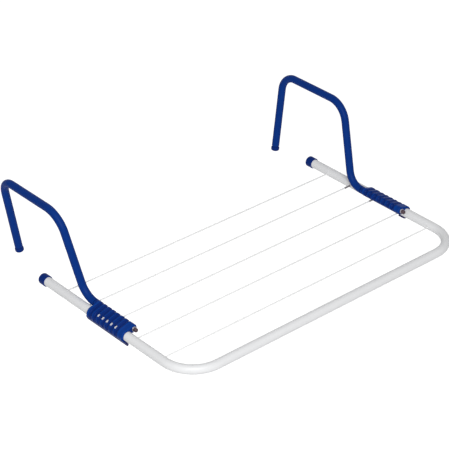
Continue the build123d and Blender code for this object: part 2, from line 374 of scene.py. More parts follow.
def mirrored(mesh):
    """Copy of a mesh for the other arm."""
    twin = mesh.copy()
    twin.transform(Matrix.Scale(-1, 4, (1, 0, 0)))
    return faced(twin)


def piece(name, mesh, material, body, slot, *nodes, crease=35.0):
    """Show a finished mesh as a named piece of one body, in place of the given CAD nodes."""
    mesh.materials.clear()
    mesh.materials.append(material)
    mesh.shade_smooth()
    mesh.set_sharp_from_angle(angle=math.radians(crease))
    obj = bpy.data.objects.new(name, mesh)
    scene.collection.objects.link(obj)
    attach(obj, body)
    if nodes:
        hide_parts(*nodes)


# --------------------------------------------------------------------- finishes
CLOUD_SHARE = 0.08         # scale of the tone changes, as a share of the grain's
DUST_FACING = (0.2, 1.0)   # upward share of a face's direction from which dust settles
DUST_PATCHES = (0.4, 0.75)
SCUFF_DRAW = (1.0, 0.22, 1.0)   # marks are drawn out along the arms
SCUFF_MARKS = (0.56, 0.72)
SCUFF_ROUGHNESS = 0.25     # added where the surface is rubbed


def grain_group():
    """Fine surface grain: a height for bumps and a mask for colour."""
    tree, given, leave = open_tree(
        "fine_grain", "ShaderNodeTree",
        [("Scale", "NodeSocketFloat", 900.0), ("Detail", "NodeSocketFloat", 3.0)],
        [("Height", "NodeSocketFloat"), ("Mask", "NodeSocketFloat")])
    place = put(tree, "ShaderNodeTexCoord").outputs["Object"]
    noise = put(tree, "ShaderNodeTexNoise",
                [("Vector", place), ("Scale", given["Scale"]), ("Detail", given["Detail"])])
    broad = maths(tree, "MULTIPLY", given["Scale"], CLOUD_SHARE)
    cloud = put(tree, "ShaderNodeTexNoise", [("Vector", place), ("Scale", broad), ("Detail", 2.0)])
    tree.links.new(noise.outputs[0], leave.inputs["Height"])
    tree.links.new(cloud.outputs[0], leave.inputs["Mask"])
    return tree


def dust_group():
    """Dust that settles on upward faces, in soft patches."""
    tree, given, leave = open_tree(
        "settled_dust", "ShaderNodeTree",
        [("Scale", "NodeSocketFloat", 60.0), ("Amount", "NodeSocketFloat", 0.1)],
        [("Mask", "NodeSocketFloat")])
    place = put(tree, "ShaderNodeTexCoord").outputs["Object"]
    up = put(tree, "ShaderNodeSeparateXYZ",
             [(0, put(tree, "ShaderNodeNewGeometry").outputs["Normal"])]).outputs["Z"]
    facing = mapped(tree, up, DUST_FACING)
    patches = put(tree, "ShaderNodeTexNoise",
                  [("Vector", place), ("Scale", given["Scale"]), ("Detail", 4.0)])
    patched = mapped(tree, patches.outputs[0], DUST_PATCHES)
    mask = maths(tree, "MULTIPLY", facing, patched)
    mask = maths(tree, "MULTIPLY", mask, given["Amount"])
    tree.links.new(mask, leave.inputs["Mask"])
    return tree


def scuff_group():
    """Faint rubbing marks, stretched along the arms."""
    tree, given, leave = open_tree(
        "handling_scuffs", "ShaderNodeTree",
        [("Scale", "NodeSocketFloat", 120.0), ("Amount", "NodeSocketFloat", 0.2)],
        [("Mask", "NodeSocketFloat")])
    place = put(tree, "ShaderNodeTexCoord").outputs["Object"]
    drawn = put(tree, "ShaderNodeMapping", [("Vector", place), ("Scale", SCUFF_DRAW)])
    marks = put(tree, "ShaderNodeTexNoise",
                [("Vector", drawn.outputs[0]), ("Scale", given["Scale"]), ("Detail", 6.0),
                 ("Roughness", 0.62)])
    thin = mapped(tree, marks.outputs[0], SCUFF_MARKS)
    mask = maths(tree, "MULTIPLY", thin, given["Amount"])
    tree.links.new(mask, leave.inputs["Mask"])
    return tree


GRAIN = grain_group()
DUST = dust_group()
SCUFFS = scuff_group()


def effect(tree, group, **values):
    """Place a shared effect in a material with its own values."""
    node = tree.nodes.new("ShaderNodeGroup")
    node.node_tree = group
    for name, value in values.items():
        node.inputs[name].default_value = value
    return node.outputs


def blend_colour(tree, factor, first, second):
    """Mix two colours by a mask."""
    mix = put(tree, "ShaderNodeMix", [(0, factor)], data_type="RGBA")
    sockets = [socket for socket in mix.inputs if socket.type == "RGBA"]
    for socket, colour in zip(sockets, (first, second)):
        feed(tree, socket, (*colour, 1) if isinstance(colour, tuple) else colour)
    return [socket for socket in mix.outputs if socket.type == "RGBA"][0]


def finish(name, colour, tone, dusty, worn, roughness, grain, bump, dust=0.06, scuffs=0.12,
           metallic=0.0, specular=0.5, marked=()):
    """Surface with grain, soft tone changes, settled dust and faint rubbing marks.

    Roughness is a range, bump a strength and a distance. Marked colours, a clip's painted highlight
    and painted shade, come with the span of the clip's marks in which each of them shows.
    """
    material = bpy.data.materials.new(name)
    material.use_nodes = True
    tree = material.node_tree
    shader = tree.nodes["Principled BSDF"]
    fine = effect(tree, GRAIN, Scale=grain)
    dusting = effect(tree, DUST, Amount=dust)["Mask"]
    rubbed = effect(tree, SCUFFS, Amount=scuffs)["Mask"]
    shade = blend_colour(tree, fine["Mask"], colour, tone)
    if marked:
        marks = put(tree, "ShaderNodeAttribute", attribute_name="groove").outputs["Fac"]
        for span, tint in marked:
            shade = blend_colour(tree, mapped(tree, marks, span), shade, tint)
    shade = blend_colour(tree, rubbed, shade, worn)
    shade = blend_colour(tree, dusting, shade, dusty)
    tree.links.new(shade, shader.inputs["Base Color"])
    rough = mapped(tree, fine["Mask"], (0.0, 1.0), roughness)
    rough = maths(tree, "ADD", rough, maths(tree, "MULTIPLY", rubbed, SCUFF_ROUGHNESS))
    tree.links.new(rough, shader.inputs["Roughness"])
    relief = put(tree, "ShaderNodeBump",
                 [("Height", fine["Height"]), ("Strength", bump[0]), ("Distance", bump[1])])
    tree.links.new(relief.outputs[0], shader.inputs["Normal"])
    shader.inputs["Metallic"].default_value = metallic
    shader.inputs["Specular IOR Level"].default_value = specular
    return material


DUST_GREY = (0.42, 0.41, 0.40)
WORN_BLUE = (0.01, 0.05, 0.25)
# Clip's marked colours: lighter crests are a painted highlight along with rubbing wear; the darker
# grooves, lip and claw are painted shade.
CREST_PAINTED_HIGHLIGHT = (0.002, 0.046, 0.283)
GROOVE_PAINTED_SHADE = (0.001, 0.020, 0.156)
LIP_PAINTED_SHADE = (0.010, 0.011, 0.095)

WHITE_COAT = finish(
    "white_powder_coat", colour=(0.77, 0.775, 0.785), tone=(0.80, 0.805, 0.815),
    dusty=(0.68, 0.67, 0.66), worn=(0.74, 0.74, 0.745), roughness=(0.30, 0.42),
    grain=1500.0, bump=(0.18, 0.00012), specular=0.35)
WIRE_COAT = finish(
    "wire_coating", colour=(0.86, 0.86, 0.86), tone=(0.89, 0.89, 0.89),
    dusty=(0.74, 0.73, 0.72), worn=(0.82, 0.82, 0.82), roughness=(0.35, 0.5),
    grain=1200.0, bump=(0.1, 0.00008), specular=0.35)
BLUE_MOULDED = finish(
    "blue_moulded_plastic", colour=(0.0015, 0.019, 0.149), tone=(0.003, 0.025, 0.180),
    dusty=DUST_GREY, worn=WORN_BLUE, roughness=(0.36, 0.48),
    grain=1100.0, bump=(0.16, 0.0001), dust=0.01, specular=0.05,
    marked=((CREST_SPAN, CREST_PAINTED_HIGHLIGHT), (GROOVE_SPAN, GROOVE_PAINTED_SHADE), (LIP_SPAN, LIP_PAINTED_SHADE)))
BLUE_SLEEVE = finish(
    "blue_sleeve_plastic", colour=(0.001, 0.026, 0.185), tone=(0.003, 0.035, 0.222),
    dusty=DUST_GREY, worn=WORN_BLUE, roughness=(0.36, 0.48),
    grain=700.0, bump=(0.22, 0.00018), dust=0.01, specular=0.05)
DARK_STEEL = finish(
    "dark_drawn_steel", colour=(0.055, 0.03, 0.042), tone=(0.085, 0.048, 0.062),
    dusty=DUST_GREY, worn=(0.17, 0.12, 0.12), roughness=(0.38, 0.5),
    grain=1400.0, bump=(0.15, 0.00008), metallic=0.5)
ZINC = finish(
    "zinc_plated_steel", colour=(0.44, 0.44, 0.47), tone=(0.52, 0.52, 0.55),
    dusty=DUST_GREY, worn=(0.60, 0.60, 0.62), roughness=(0.3, 0.42),
    grain=900.0, bump=(0.12, 0.00008), metallic=0.9)
# Dark grey of the wire collars: painted shadow and reflection of the hook and the clip over the wire
# ends.
WIRE_SHADOW_GREY = finish(
    "wire_end_painted_shadow", colour=(0.205, 0.19, 0.20), tone=(0.25, 0.235, 0.245),
    dusty=DUST_GREY, worn=(0.34, 0.34, 0.35), roughness=(0.4, 0.5),
    grain=1200.0, bump=(0.1, 0.00008), specular=0.3)


# --------------------------------------------------------------- turned pieces
def rounded(corner, before, after, radius, steps=7):
    """Points of a round corner in a turned outline."""
    corner, before, after = Vector(corner), Vector(before), Vector(after)
    into = (before - corner).normalized()
    out = (after - corner).normalized()
    half = into.angle(out) / 2
    reach = radius / math.tan(half)
    centre = corner + (into + out).normalized() * (radius / math.sin(half))
    first = corner + into * reach - centre
    last = corner + out * reach - centre
    sweep = first.angle_signed(last)
    points = []
    for step in range(steps + 1):
        turn = Matrix.Rotation(-sweep * step / steps, 2)
        points.append(tuple(centre + turn @ first))
    return points


def outline(corners):
    """Turned outline from (radius, along, rounding) corners."""
    points = []
    for index, (radius, along, rounding) in enumerate(corners):
        if rounding:
            before = corners[index - 1][:2]
            after = corners[(index + 1) % len(corners)][:2]
            points += rounded((radius, along), before, after, rounding)
        else:
            points.append((radius, along))
    return points


def turned(name, corners, sides=64):
    """Closed turned mesh about +Y from its outline's corners."""
    line = outline(corners)
    points = []
    for step in range(sides):
        angle = math.tau * step / sides
        for radius, along in line:
            points.append((radius * math.cos(angle), along, radius * math.sin(angle)))
    faces = []
    count = len(line)
    for step in range(sides):
        here, there = step * count, (step + 1) % sides * count
        for index in range(count):
            following = (index + 1) % count
            if line[index][0] or line[following][0]:
                faces.append((here + index, there + index, there + following, here + following))
    return faced(mesh_of(name, points, faces))


def arm_cap_mesh():
    """Push-on cap with a domed end, a thickened rim and a spigot inside the tube."""
    rim = -CAP_END - CAP_COVER
    bore = TUBE_RADIUS + CAP_FIT
    tip = -CAP_END - CAP_SPIGOT
    spigot = TUBE_RADIUS - TUBE_WALL - CAP_FIT
    hollow = spigot - CAP_SPIGOT_WALL
    return turned("arm_cap", [
        (0, 0, 0), (CAP_RADIUS, 0, CAP_EDGE), (CAP_RADIUS, rim, CAP_RIM_EDGE), (bore, rim, 0),
        (bore, -CAP_END, 0), (spigot, -CAP_END, 0), (spigot, tip, CAP_SPIGOT_EDGE),
        (hollow, tip, 0), (hollow, -CAP_END, 0), (0, -CAP_END, 0)])


def end_plug_mesh():
    """Hook's end plug: spigot, slim neck and rounded head."""
    shoulder = PLUG_HEAD - PLUG_BAND
    spigot = SLEEVE_RADIUS - SLEEVE_WALL - PLUG_FIT
    return turned("end_plug", [
        (0, -PLUG_SPIGOT, 0), (spigot, -PLUG_SPIGOT, PLUG_SPIGOT_EDGE),
        (spigot, 0, 0), (PLUG_NECK, 0, PLUG_NECK_EDGE),
        (PLUG_NECK, PLUG_GROOVE, PLUG_GROOVE_EDGE), (PLUG_RADIUS, shoulder, PLUG_SHOULDER_EDGE),
        (PLUG_RADIUS, PLUG_HEAD, PLUG_EDGE), (0, PLUG_HEAD, 0)])


# ------------------------------------------------------- pieces along a bent line
def bent_tree():
    """Round bar or tube that follows a cornered line with rounded bends."""
    tree, given, leave = shape_tree("bent_bar", [
        ("Radius", "NodeSocketFloat", 0.007), ("Sides", "NodeSocketInt", 48),
        ("Bend Steps", "NodeSocketInt", 24), ("Closed Ends", "NodeSocketBool", False),
        ("Unevenness", "NodeSocketFloat", 0.0), ("Wave", "NodeSocketFloat", 60.0),
        ("Even Steps", "NodeSocketBool", True), ("Step", "NodeSocketFloat", 0.002),
        ("Seed", "NodeSocketFloat", 0.0)])
    line = put(tree, "GeometryNodeMeshToCurve", [(0, given["Geometry"])])
    rounded_line = put(tree, "GeometryNodeFilletCurve",
                       [("Curve", line.outputs[0]), ("Count", given["Bend Steps"]),
                        ("Radius", stored(tree, "bend"))], mode="POLY")
    even = put(tree, "GeometryNodeResampleCurve",
               [("Curve", rounded_line.outputs[0]), ("Length", given["Step"])], mode="LENGTH")
    chosen = put(tree, "GeometryNodeSwitch",
                 [("Switch", given["Even Steps"]), ("False", rounded_line.outputs[0]),
                  ("True", even.outputs[0])], input_type="GEOMETRY")
    ring = put(tree, "GeometryNodeCurvePrimitiveCircle",
               [("Resolution", given["Sides"]), ("Radius", given["Radius"])])
    bar = put(tree, "GeometryNodeCurveToMesh",
              [("Curve", chosen.outputs[0]), ("Profile Curve", ring.outputs[0]),
               ("Scale", stored(tree, "girth")), ("Fill Caps", given["Closed Ends"])])
    seeded = put(tree, "ShaderNodeTexNoise",
                 [("Vector", put(tree, "GeometryNodeInputPosition").outputs[0]),
                  ("W", given["Seed"]), ("Scale", given["Wave"]), ("Detail", 1.5)],
                 noise_dimensions="4D")
    swell = maths(tree, "SUBTRACT", seeded.outputs[0], 0.5)
    swell = maths(tree, "MULTIPLY", swell, given["Unevenness"])
    outward = put(tree, "ShaderNodeVectorMath",
                  [(0, put(tree, "GeometryNodeInputNormal").outputs[0])], operation="SCALE")
    tree.links.new(swell, outward.inputs["Scale"])
    moved = put(tree, "GeometryNodeSetPosition",
                [("Geometry", bar.outputs[0]), ("Offset", outward.outputs[0])])
    close_tree(tree, given, leave, moved.outputs[0])
    return tree


BENT_BAR = bent_tree()


def cornered_line(name, points, bends, girths=None):
    """Line of corners, with each corner's bend radius and the bar's girth there."""
    edges = [(i, i + 1) for i in range(len(points) - 1)]
    mesh = mesh_of(name, points, [], edges)
    give(mesh, "bend", [b * MM for b in bends])
    give(mesh, "girth", girths or [1.0] * len(points))
    return mesh


def frame_tube_mesh():
    """Bent frame tube with its wall and the wire holes in the arms' inner sides."""
    corners = [(-ARM_X, -CAP_END, 0), (-ARM_X, -FRAME_DEPTH, 0), (ARM_X, -FRAME_DEPTH, 0),
               (ARM_X, -CAP_END, 0)]
    line = cornered_line("frame_line", corners, [0, CORNER_RADIUS, CORNER_RADIUS, 0])
    tube = grow(line, BENT_BAR, {
        "Radius": TUBE_RADIUS * MM, "Sides": TUBE_SIDES, "Bend Steps": TUBE_BEND_STEPS,
        "Step": TUBE_STEP * MM, "Material": WHITE_COAT}, wall=TUBE_WALL * MM)
    drills = [bar_mesh((-ARM_X, -setback, 0), (ARM_X, -setback, 0), WIRE_HOLE_RADIUS, WIRE_HOLE_SIDES)
              for setback in WIRE_SETBACKS]
    return carve(tube, "DIFFERENCE", together("drills", drills))


def together(name, meshes):
    """One mesh of several that stand apart."""
    work = bmesh.new()
    for mesh in meshes:
        work.from_mesh(mesh)
    result = bpy.data.meshes.new(name)
    work.to_mesh(result)
    work.free()
    return result


def bar_mesh(start, end, radius, sides):
    """Closed round bar between two points, for cutting holes."""
    line = cornered_line("bar_line", [start, end], [0, 0])
    return grow(line, BENT_BAR, {
        "Radius": radius * MM, "Sides": sides, "Closed Ends": True, "Even Steps": False})


# ----------------------------------------------------------------------- hooks
def hook_corners(leg_start, drop_length):
    """Corners of a hook's line: (along the arm, up, inwards), clip face at 0."""
    lower_turn = math.radians(90 - RISER_LEAN)
    leg_end = SLEEVE_END_GAP + LEG_STRAIGHT + LOWER_BEND * math.tan(lower_turn / 2)
    top_front = leg_end + HOOK_HEIGHT * math.tan(math.radians(RISER_LEAN))
    top_rear = top_front + HOOK_SPAN
    drop_end = (top_rear - drop_length * math.sin(math.radians(DROP_LEAN)),
                HOOK_HEIGHT - drop_length * math.cos(math.radians(DROP_LEAN)),
                drop_length * math.sin(math.radians(DROP_TOE)))
    return [(leg_start, 0, 0), (leg_end, 0, 0), (top_front, HOOK_HEIGHT, 0),
            (top_rear, HOOK_HEIGHT, 0), drop_end]


def beside_arm(point, side):
    """Place a hook point beside its arm, the hook leaning outwards."""
    along, up, inwards = point
    lean = math.radians(HOOK_LEAN)
    inset = ROD_INSET - up * math.sin(lean) + inwards * math.cos(lean)
    rise = ROD_RISE + up * math.cos(lean) + inwards * math.sin(lean)
    return (SIDES[side] * (ARM_X - inset), along - CLIP_SETBACK[side], rise)


HOOK_BENDS = [0, LOWER_BEND, FRONT_BEND, REAR_BEND, 0]


def sleeve_mesh(side):
    """Plastic sleeve over the hook's rod, slightly uneven as extruded tube is."""
    corners = [beside_arm(p, side) for p in hook_corners(SLEEVE_END_GAP, DROP_LENGTH)]
    line = cornered_line("sleeve_line", corners, HOOK_BENDS)
    return grow(line, BENT_BAR, {
        "Radius": (SLEEVE_RADIUS - SLEEVE_TRIM) * MM, "Sides": SLEEVE_SIDES,
        "Bend Steps": HOOK_BEND_STEPS, "Step": SLEEVE_STEP * MM,
        "Unevenness": SLEEVE_UNEVENNESS * MM, "Wave": SLEEVE_WAVE, "Seed": float(SIDES[side]),
        "Material": BLUE_SLEEVE}, wall=SLEEVE_WALL * MM)


def rod_mesh(side):
    """Steel rod through clip and hook, its bare tip rounded."""
    tip = -CLIP_LENGTH - ROD_TIP
    corners = hook_corners(tip, DROP_LENGTH - PLUG_SPIGOT - PLUG_ROD_GAP)
    turns = quarter_turn(NOSE_STEPS)
    nose = [(tip + ROD_NOSE * (1 - math.cos(turn)), 0, 0) for turn in turns]
    girths = [1 - ROD_NOSE / ROD_RADIUS * (1 - math.sin(turn)) for turn in turns]
    points = [beside_arm(p, side) for p in nose + corners[1:]]
    bends = [0.0] * len(nose) + HOOK_BENDS[1:]
    line = cornered_line("rod_line", points, bends, girths + [1.0] * (len(corners) - 1))
    return grow(line, BENT_BAR, {
        "Radius": ROD_RADIUS * MM, "Sides": ROD_SIDES, "Bend Steps": HOOK_BEND_STEPS,
        "Closed Ends": True, "Even Steps": False, "Material": DARK_STEEL})


def placed_plug(side):
    """End plug set in the end of the drop leg."""
    corners = [Vector(beside_arm(p, side)) for p in hook_corners(SLEEVE_END_GAP, DROP_LENGTH)]
    heading = (corners[4] - corners[3]).normalized()
    turn = Vector((0, 1, 0)).rotation_difference(heading).to_matrix().to_4x4()
    mesh = end_plug_mesh()
    mesh.transform(Matrix.Translation(corners[4] * MM) @ turn)
    return mesh


# ----------------------------------------------------------------------- wires
def wire_places(name, across, setbacks):
    """One point on each of the wires set back so far, at the given distance across the frame."""
    return mesh_of(name, [(across, -setback, 0) for setback in setbacks], [])


def wires_tree():
    """A straight taut wire at every point."""
    tree, given, leave = shape_tree("taut_wires", [
        ("Wire Radius", "NodeSocketFloat", 0.0011), ("Half Span", "NodeSocketFloat", 0.26),
        ("Sides", "NodeSocketInt", 20)])
    left = put(tree, "ShaderNodeCombineXYZ", [(0, maths(tree, "MULTIPLY", given["Half Span"], -1.0))])
    right = put(tree, "ShaderNodeCombineXYZ", [(0, given["Half Span"])])
    line = put(tree, "GeometryNodeCurvePrimitiveLine",
               [("Start", left.outputs[0]), ("End", right.outputs[0])])
    ring = put(tree, "GeometryNodeCurvePrimitiveCircle",
               [("Resolution", given["Sides"]), ("Radius", given["Wire Radius"])])
    wire = put(tree, "GeometryNodeCurveToMesh",
               [("Curve", line.outputs[0]), ("Profile Curve", ring.outputs[0]), ("Fill Caps", True)])
    strung = put(tree, "GeometryNodeInstanceOnPoints",
                 [("Points", given["Geometry"]), ("Instance", wire.outputs[0])])
    close_tree(tree, given, leave, strung.outputs[0])
    return tree


def wire_shadow_tree():
    """A turned collar at every point, its axis turned about the upright."""
    tree, given, leave = shape_tree("wire_collars", [
        ("Collar", "NodeSocketObject", None), ("Turn", "NodeSocketFloat", 0.0)])
    collar = put(tree, "GeometryNodeObjectInfo", [("Object", given["Collar"])])
    turn = put(tree, "ShaderNodeCombineXYZ", [(2, given["Turn"])])
    placed = put(tree, "GeometryNodeInstanceOnPoints",
                 [("Points", given["Geometry"]), ("Instance", collar.outputs["Geometry"]),
                  ("Rotation", turn.outputs[0])])
    close_tree(tree, given, leave, placed.outputs[0])
    return tree


def wire_shadow_mesh():
    """Dark collars round two wires at the right arm, painted shadow and reflection of the hook and clip
    above; slim enough for the clip to pass over.
    """
    blank = bpy.data.objects.new("collar", turned("collar", [
        (COLLAR_BORE, -COLLAR_SEAT, 0), (COLLAR_RIM, -COLLAR_SEAT, 0),
        (COLLAR_RIM, COLLAR_RIM_END, COLLAR_EDGE), (COLLAR_RADIUS, COLLAR_NECK, 0),
        (COLLAR_RADIUS, COLLAR_LENGTH, COLLAR_EDGE), (COLLAR_BORE, COLLAR_LENGTH, 0)],
        sides=COLLAR_SIDES))
    places = wire_places("collar_places", ARM_X - TUBE_RADIUS, SHADOWED_WIRE_SETBACKS)
    mesh = grow(places, wire_shadow_tree(),
                {"Collar": blank, "Turn": math.pi / 2, "Material": WIRE_SHADOW_GREY})
    bpy.data.objects.remove(blank)
    return mesh


# ----------------------------------------------------------------------- clips
def lobe_outline():
    """Points round both lobes at crest height: place, outward direction and groove share."""
    tube_crest = TUBE_BORE + LOBE_WALL + RIB_HEIGHT
    rod_crest = ROD_BORE + LOBE_WALL + RIB_HEIGHT
    slope = math.degrees(math.atan2(ROD_RISE, ROD_INSET))
    spread = math.degrees(math.acos((tube_crest - rod_crest) / math.hypot(ROD_INSET, ROD_RISE)))
    rod_lobe = (ROD_INSET, ROD_RISE, rod_crest)
    tube_lobe = (0.0, 0.0, tube_crest)
    points = lobe_arc(rod_lobe, slope - spread, slope + spread,
                      lambda angle: ramp(angle, GROOVE_START, GROOVE_START_FADE))
    points += lobe_flank(points[-1], tube_lobe, points[-1][2])
    points += lobe_arc(tube_lobe, slope + spread, slope - spread + 360,
                       lambda angle: 1 - ramp(angle, GROOVE_STOP, GROOVE_STOP_FADE))
    points += lobe_flank(points[-1], rod_lobe, 0.0)
    return points


def lobe_arc(lobe, first, last, groove_share):
    """Points of one lobe's arc, both ends included."""
    x, z, radius = lobe
    steps = round(math.radians(last - first) * radius / OUTLINE_STEP)
    points = []
    for step in range(steps + 1):
        angle = first + (last - first) * step / steps
        out = polar(angle)
        points.append(((x + radius * out[0], z + radius * out[1]), out, groove_share(angle)))
    return points


def lobe_flank(start, lobe, share):
    """Points of the straight flank from the end of one lobe's arc to the next lobe, ends left out."""
    here, out, _ = start
    x, z, radius = lobe
    there = (x + radius * out[0], z + radius * out[1])
    parts = [step / FLANK_STEPS for step in range(1, FLANK_STEPS)]
    return [(tuple(a + (b - a) * part for a, b in zip(here, there)), out, share) for part in parts]


def ramp(value, start, width):
    """Smooth rise from 0 to 1 over a width centred on the start."""
    t = min(1.0, max(0.0, (value - start) / width + 0.5))
    return t * t * (3 - 2 * t)


def clip_blank():
    """Smooth clip body with rounded ends; carries where grooves may go and which way is out."""
    section = lobe_outline()
    ends = [(CLIP_EDGE * (1 - math.cos(turn)), CLIP_EDGE * (1 - math.sin(turn)))
            for turn in quarter_turn(CLIP_EDGE_STEPS)[:-1]]
    first = LOBE_STEP + CLIP_EDGE
    plain = CLIP_LENGTH - CLIP_EDGE - first
    stations = [(LOBE_STEP + along, inset) for along, inset in ends]
    stations += [(first + plain * row / CLIP_ROWS, 0.0) for row in range(CLIP_ROWS + 1)]
    stations += [(CLIP_LENGTH - along, inset) for along, inset in reversed(ends)]
    mesh = through_rings("clip_blank", [
        [(x - out[0] * inset, -along, z - out[1] * inset) for (x, z), out, _ in section]
        for along, inset in stations])
    give(mesh, "share", [share for _, _, share in section] * len(stations))
    give(mesh, "out_x", [out[0] for _, out, _ in section] * len(stations))
    give(mesh, "out_z", [out[1] for _, out, _ in section] * len(stations))
    return mesh


def crest_highlight_and_rub(tree, given, away, share):
    """How much painted highlight, with rubbing wear, a place gets: fully on a crest between two grooves,
    less at the plain ends.
    """
    edge = maths(tree, "MULTIPLY", given["Top Width"], CREST_START)
    middle = maths(tree, "MULTIPLY", given["Pitch"], 0.5)
    crest = mapped(tree, away, (edge, middle))
    ends = [maths(tree, "MULTIPLY", given["Pitch"], part) for part in END_HIGHLIGHT_AND_RUB_SPAN]
    highlight_and_rub = maths(tree, "MULTIPLY", mapped(tree, away, ends, (1.0, END_HIGHLIGHT_AND_RUB)), share)
    return maths(tree, "MULTIPLY", crest, highlight_and_rub)


def grooves_tree():
    """Presses evenly spaced rounded grooves into a clip, and marks them for painted shade and the crests
    between for a painted highlight.
    """
    tree, given, leave = shape_tree("clip_grooves", [
        ("Groove Count", "NodeSocketInt", 7), ("Pitch", "NodeSocketFloat", 0.0094),
        ("First Groove", "NodeSocketFloat", 0.0132), ("Floor Width", "NodeSocketFloat", 0.002),
        ("Top Width", "NodeSocketFloat", 0.006), ("Depth", "NodeSocketFloat", 0.0012)])
    place = put(tree, "ShaderNodeSeparateXYZ",
                [(0, put(tree, "GeometryNodeInputPosition").outputs[0])])
    along = maths(tree, "MULTIPLY", place.outputs["Y"], -1.0)
    shifted = maths(tree, "SUBTRACT", along, given["First Groove"])
    number = maths(tree, "ROUND", maths(tree, "DIVIDE", shifted, given["Pitch"]))
    last = maths(tree, "SUBTRACT", given["Groove Count"], 1.0)
    number = maths(tree, "MAXIMUM", maths(tree, "MINIMUM", number, last), 0.0)
    middle = maths(tree, "MULTIPLY", number, given["Pitch"])
    away = maths(tree, "ABSOLUTE", maths(tree, "SUBTRACT", shifted, middle))
    half_floor = maths(tree, "MULTIPLY", given["Floor Width"], 0.5)
    half_top = maths(tree, "MULTIPLY", given["Top Width"], 0.5)
    pressed = mapped(tree, away, (half_floor, half_top), (1.0, 0.0),
                     interpolation_type="SMOOTHSTEP")
    share = stored(tree, "share")
    pressed = maths(tree, "MULTIPLY", pressed, share)
    sunk = maths(tree, "MULTIPLY", pressed, maths(tree, "MULTIPLY", given["Depth"], -1.0))
    marked = maths(tree, "SUBTRACT", pressed, crest_highlight_and_rub(tree, given, away, share))
    kept = put(tree, "GeometryNodeStoreNamedAttribute",
               [("Geometry", given["Geometry"]), ("Name", "groove"), ("Value", marked)],
               data_type="FLOAT", domain="POINT")
    out = put(tree, "ShaderNodeCombineXYZ", [("X", stored(tree, "out_x")), ("Z", stored(tree, "out_z"))])
    offset = put(tree, "ShaderNodeVectorMath", [(0, out.outputs[0])], operation="SCALE")
    tree.links.new(sunk, offset.inputs["Scale"])
    moved = put(tree, "GeometryNodeSetPosition",
                [("Geometry", kept.outputs[0]), ("Offset", offset.outputs[0])])
    close_tree(tree, given, leave, moved.outputs[0])
    return tree


def mouth_tool():
    """Wedge from the tube's axis that opens the clip's mouth below and inwards."""
    section = [(0, MOUTH_LEVEL), (0, 0)]
    section += [polar(MOUTH_OUTER + (360 - MOUTH_OUTER) * step / MOUTH_STEPS, MOUTH_REACH)
                for step in range(MOUTH_STEPS + 1)]
    section.append((MOUTH_REACH, MOUTH_LEVEL))
    return solid("mouth", [[(x, -along, z) for x, z in section]
                           for along in (-MOUTH_OVERRUN, CLIP_LENGTH + MOUTH_OVERRUN)])


def lip_section(reach):
    """Section of the flared lip: a bar with round ends, rooted in the tube lobe's wall."""
    half = LIP_THICKNESS / 2
    root = Vector(polar(MOUTH_OUTER)) * (TUBE_BORE + half)
    heading = MOUTH_OUTER + 90 - LIP_FLARE
    ahead = Vector(polar(heading))
    points = []
    for centre, first in ((root + ahead * reach, heading - 90), (root, heading + 90)):
        for step in range(LIP_END_STEPS + 1):
            points.append(tuple(centre + Vector(polar(first + 180 * step / LIP_END_STEPS)) * half))
    return points


def lip_mesh():
    """Flared lip along the mouth, past the lobes at both ends, its outer corners rounded."""
    corner = [(LIP_CORNER * (1 - math.sin(turn)), LIP_REACH - LIP_CORNER * (1 - math.cos(turn)))
              for turn in reversed(quarter_turn(LIP_CORNER_STEPS))]
    stations = corner + [(LIP_FRONT - along, reach) for along, reach in reversed(corner)]
    return solid("lip", [[(x, -along, z) for x, z in lip_section(reach)] for along, reach in stations])


def claw_mesh():
    """Curved claw at the clip's front end, from the lip round under the tube."""
    corner = [(LIP_CORNER * (1 - math.sin(turn)), CLAW_CORNER * (1 - math.cos(turn)))
              for turn in quarter_turn(CLAW_CORNER_STEPS)]
    rear = CLIP_LENGTH - CLAW_LENGTH
    stations = [(rear + along, CLAW_SWEEP - less) for along, less in reversed(corner)]
    stations += [(CLIP_LENGTH - along, CLAW_SWEEP - less) for along, less in corner]
    rings = []
    for along, sweep in stations:
        angles = [MOUTH_OUTER - CLAW_OVERLAP + (sweep + CLAW_OVERLAP) * step / CLAW_STEPS
                  for step in range(CLAW_STEPS + 1)]
        inner = [polar(angle, TUBE_BORE - LOBE_WALL / 2) for angle in angles]
        outer = [polar(angle, TUBE_BORE + CLAW_WALL) for angle in reversed(angles)]
        rings.append([(x, -along, z) for x, z in inner + outer])
    return solid("claw", rings)


def boss_mesh():
    """Rear end of the rod lobe, which stands out behind the tube lobe towards the sleeve."""
    crest = ROD_BORE + LOBE_WALL + RIB_HEIGHT - BOSS_INSET
    mesh = turned("boss", [(0, 0, 0), (crest, 0, CLIP_EDGE), (crest, -2 * LOBE_STEP, 0),
                           (0, -2 * LOBE_STEP, 0)], sides=BOSS_SIDES)
    mesh.transform(Matrix.Translation(Vector((ROD_INSET, 0, ROD_RISE)) * MM))
    return mesh


def window_tool(along):
    """Round-cornered block that cuts one window through the tube lobe."""
    section = []
    for y, z in ((1, 1), (-1, 1), (-1, -1), (1, -1)):
        centre = (y * (WINDOW_LENGTH / 2 - WINDOW_CORNER), z * (WINDOW_HEIGHT / 2 - WINDOW_CORNER))
        first = math.atan2(z, y) - math.pi / 4
        for turn in quarter_turn(WINDOW_CORNER_STEPS):
            section.append((centre[0] + WINDOW_CORNER * math.cos(first + turn),
                            centre[1] + WINDOW_CORNER * math.sin(first + turn)))
    mesh = solid("window", [[(reach, y, z) for y, z in section] for reach in WINDOW_CUT])
    mesh.transform(Matrix.Translation((0, -along * MM, 0))
                   @ Matrix.Rotation(-math.radians(WINDOW_ANGLE), 4, "Y"))
    return mesh


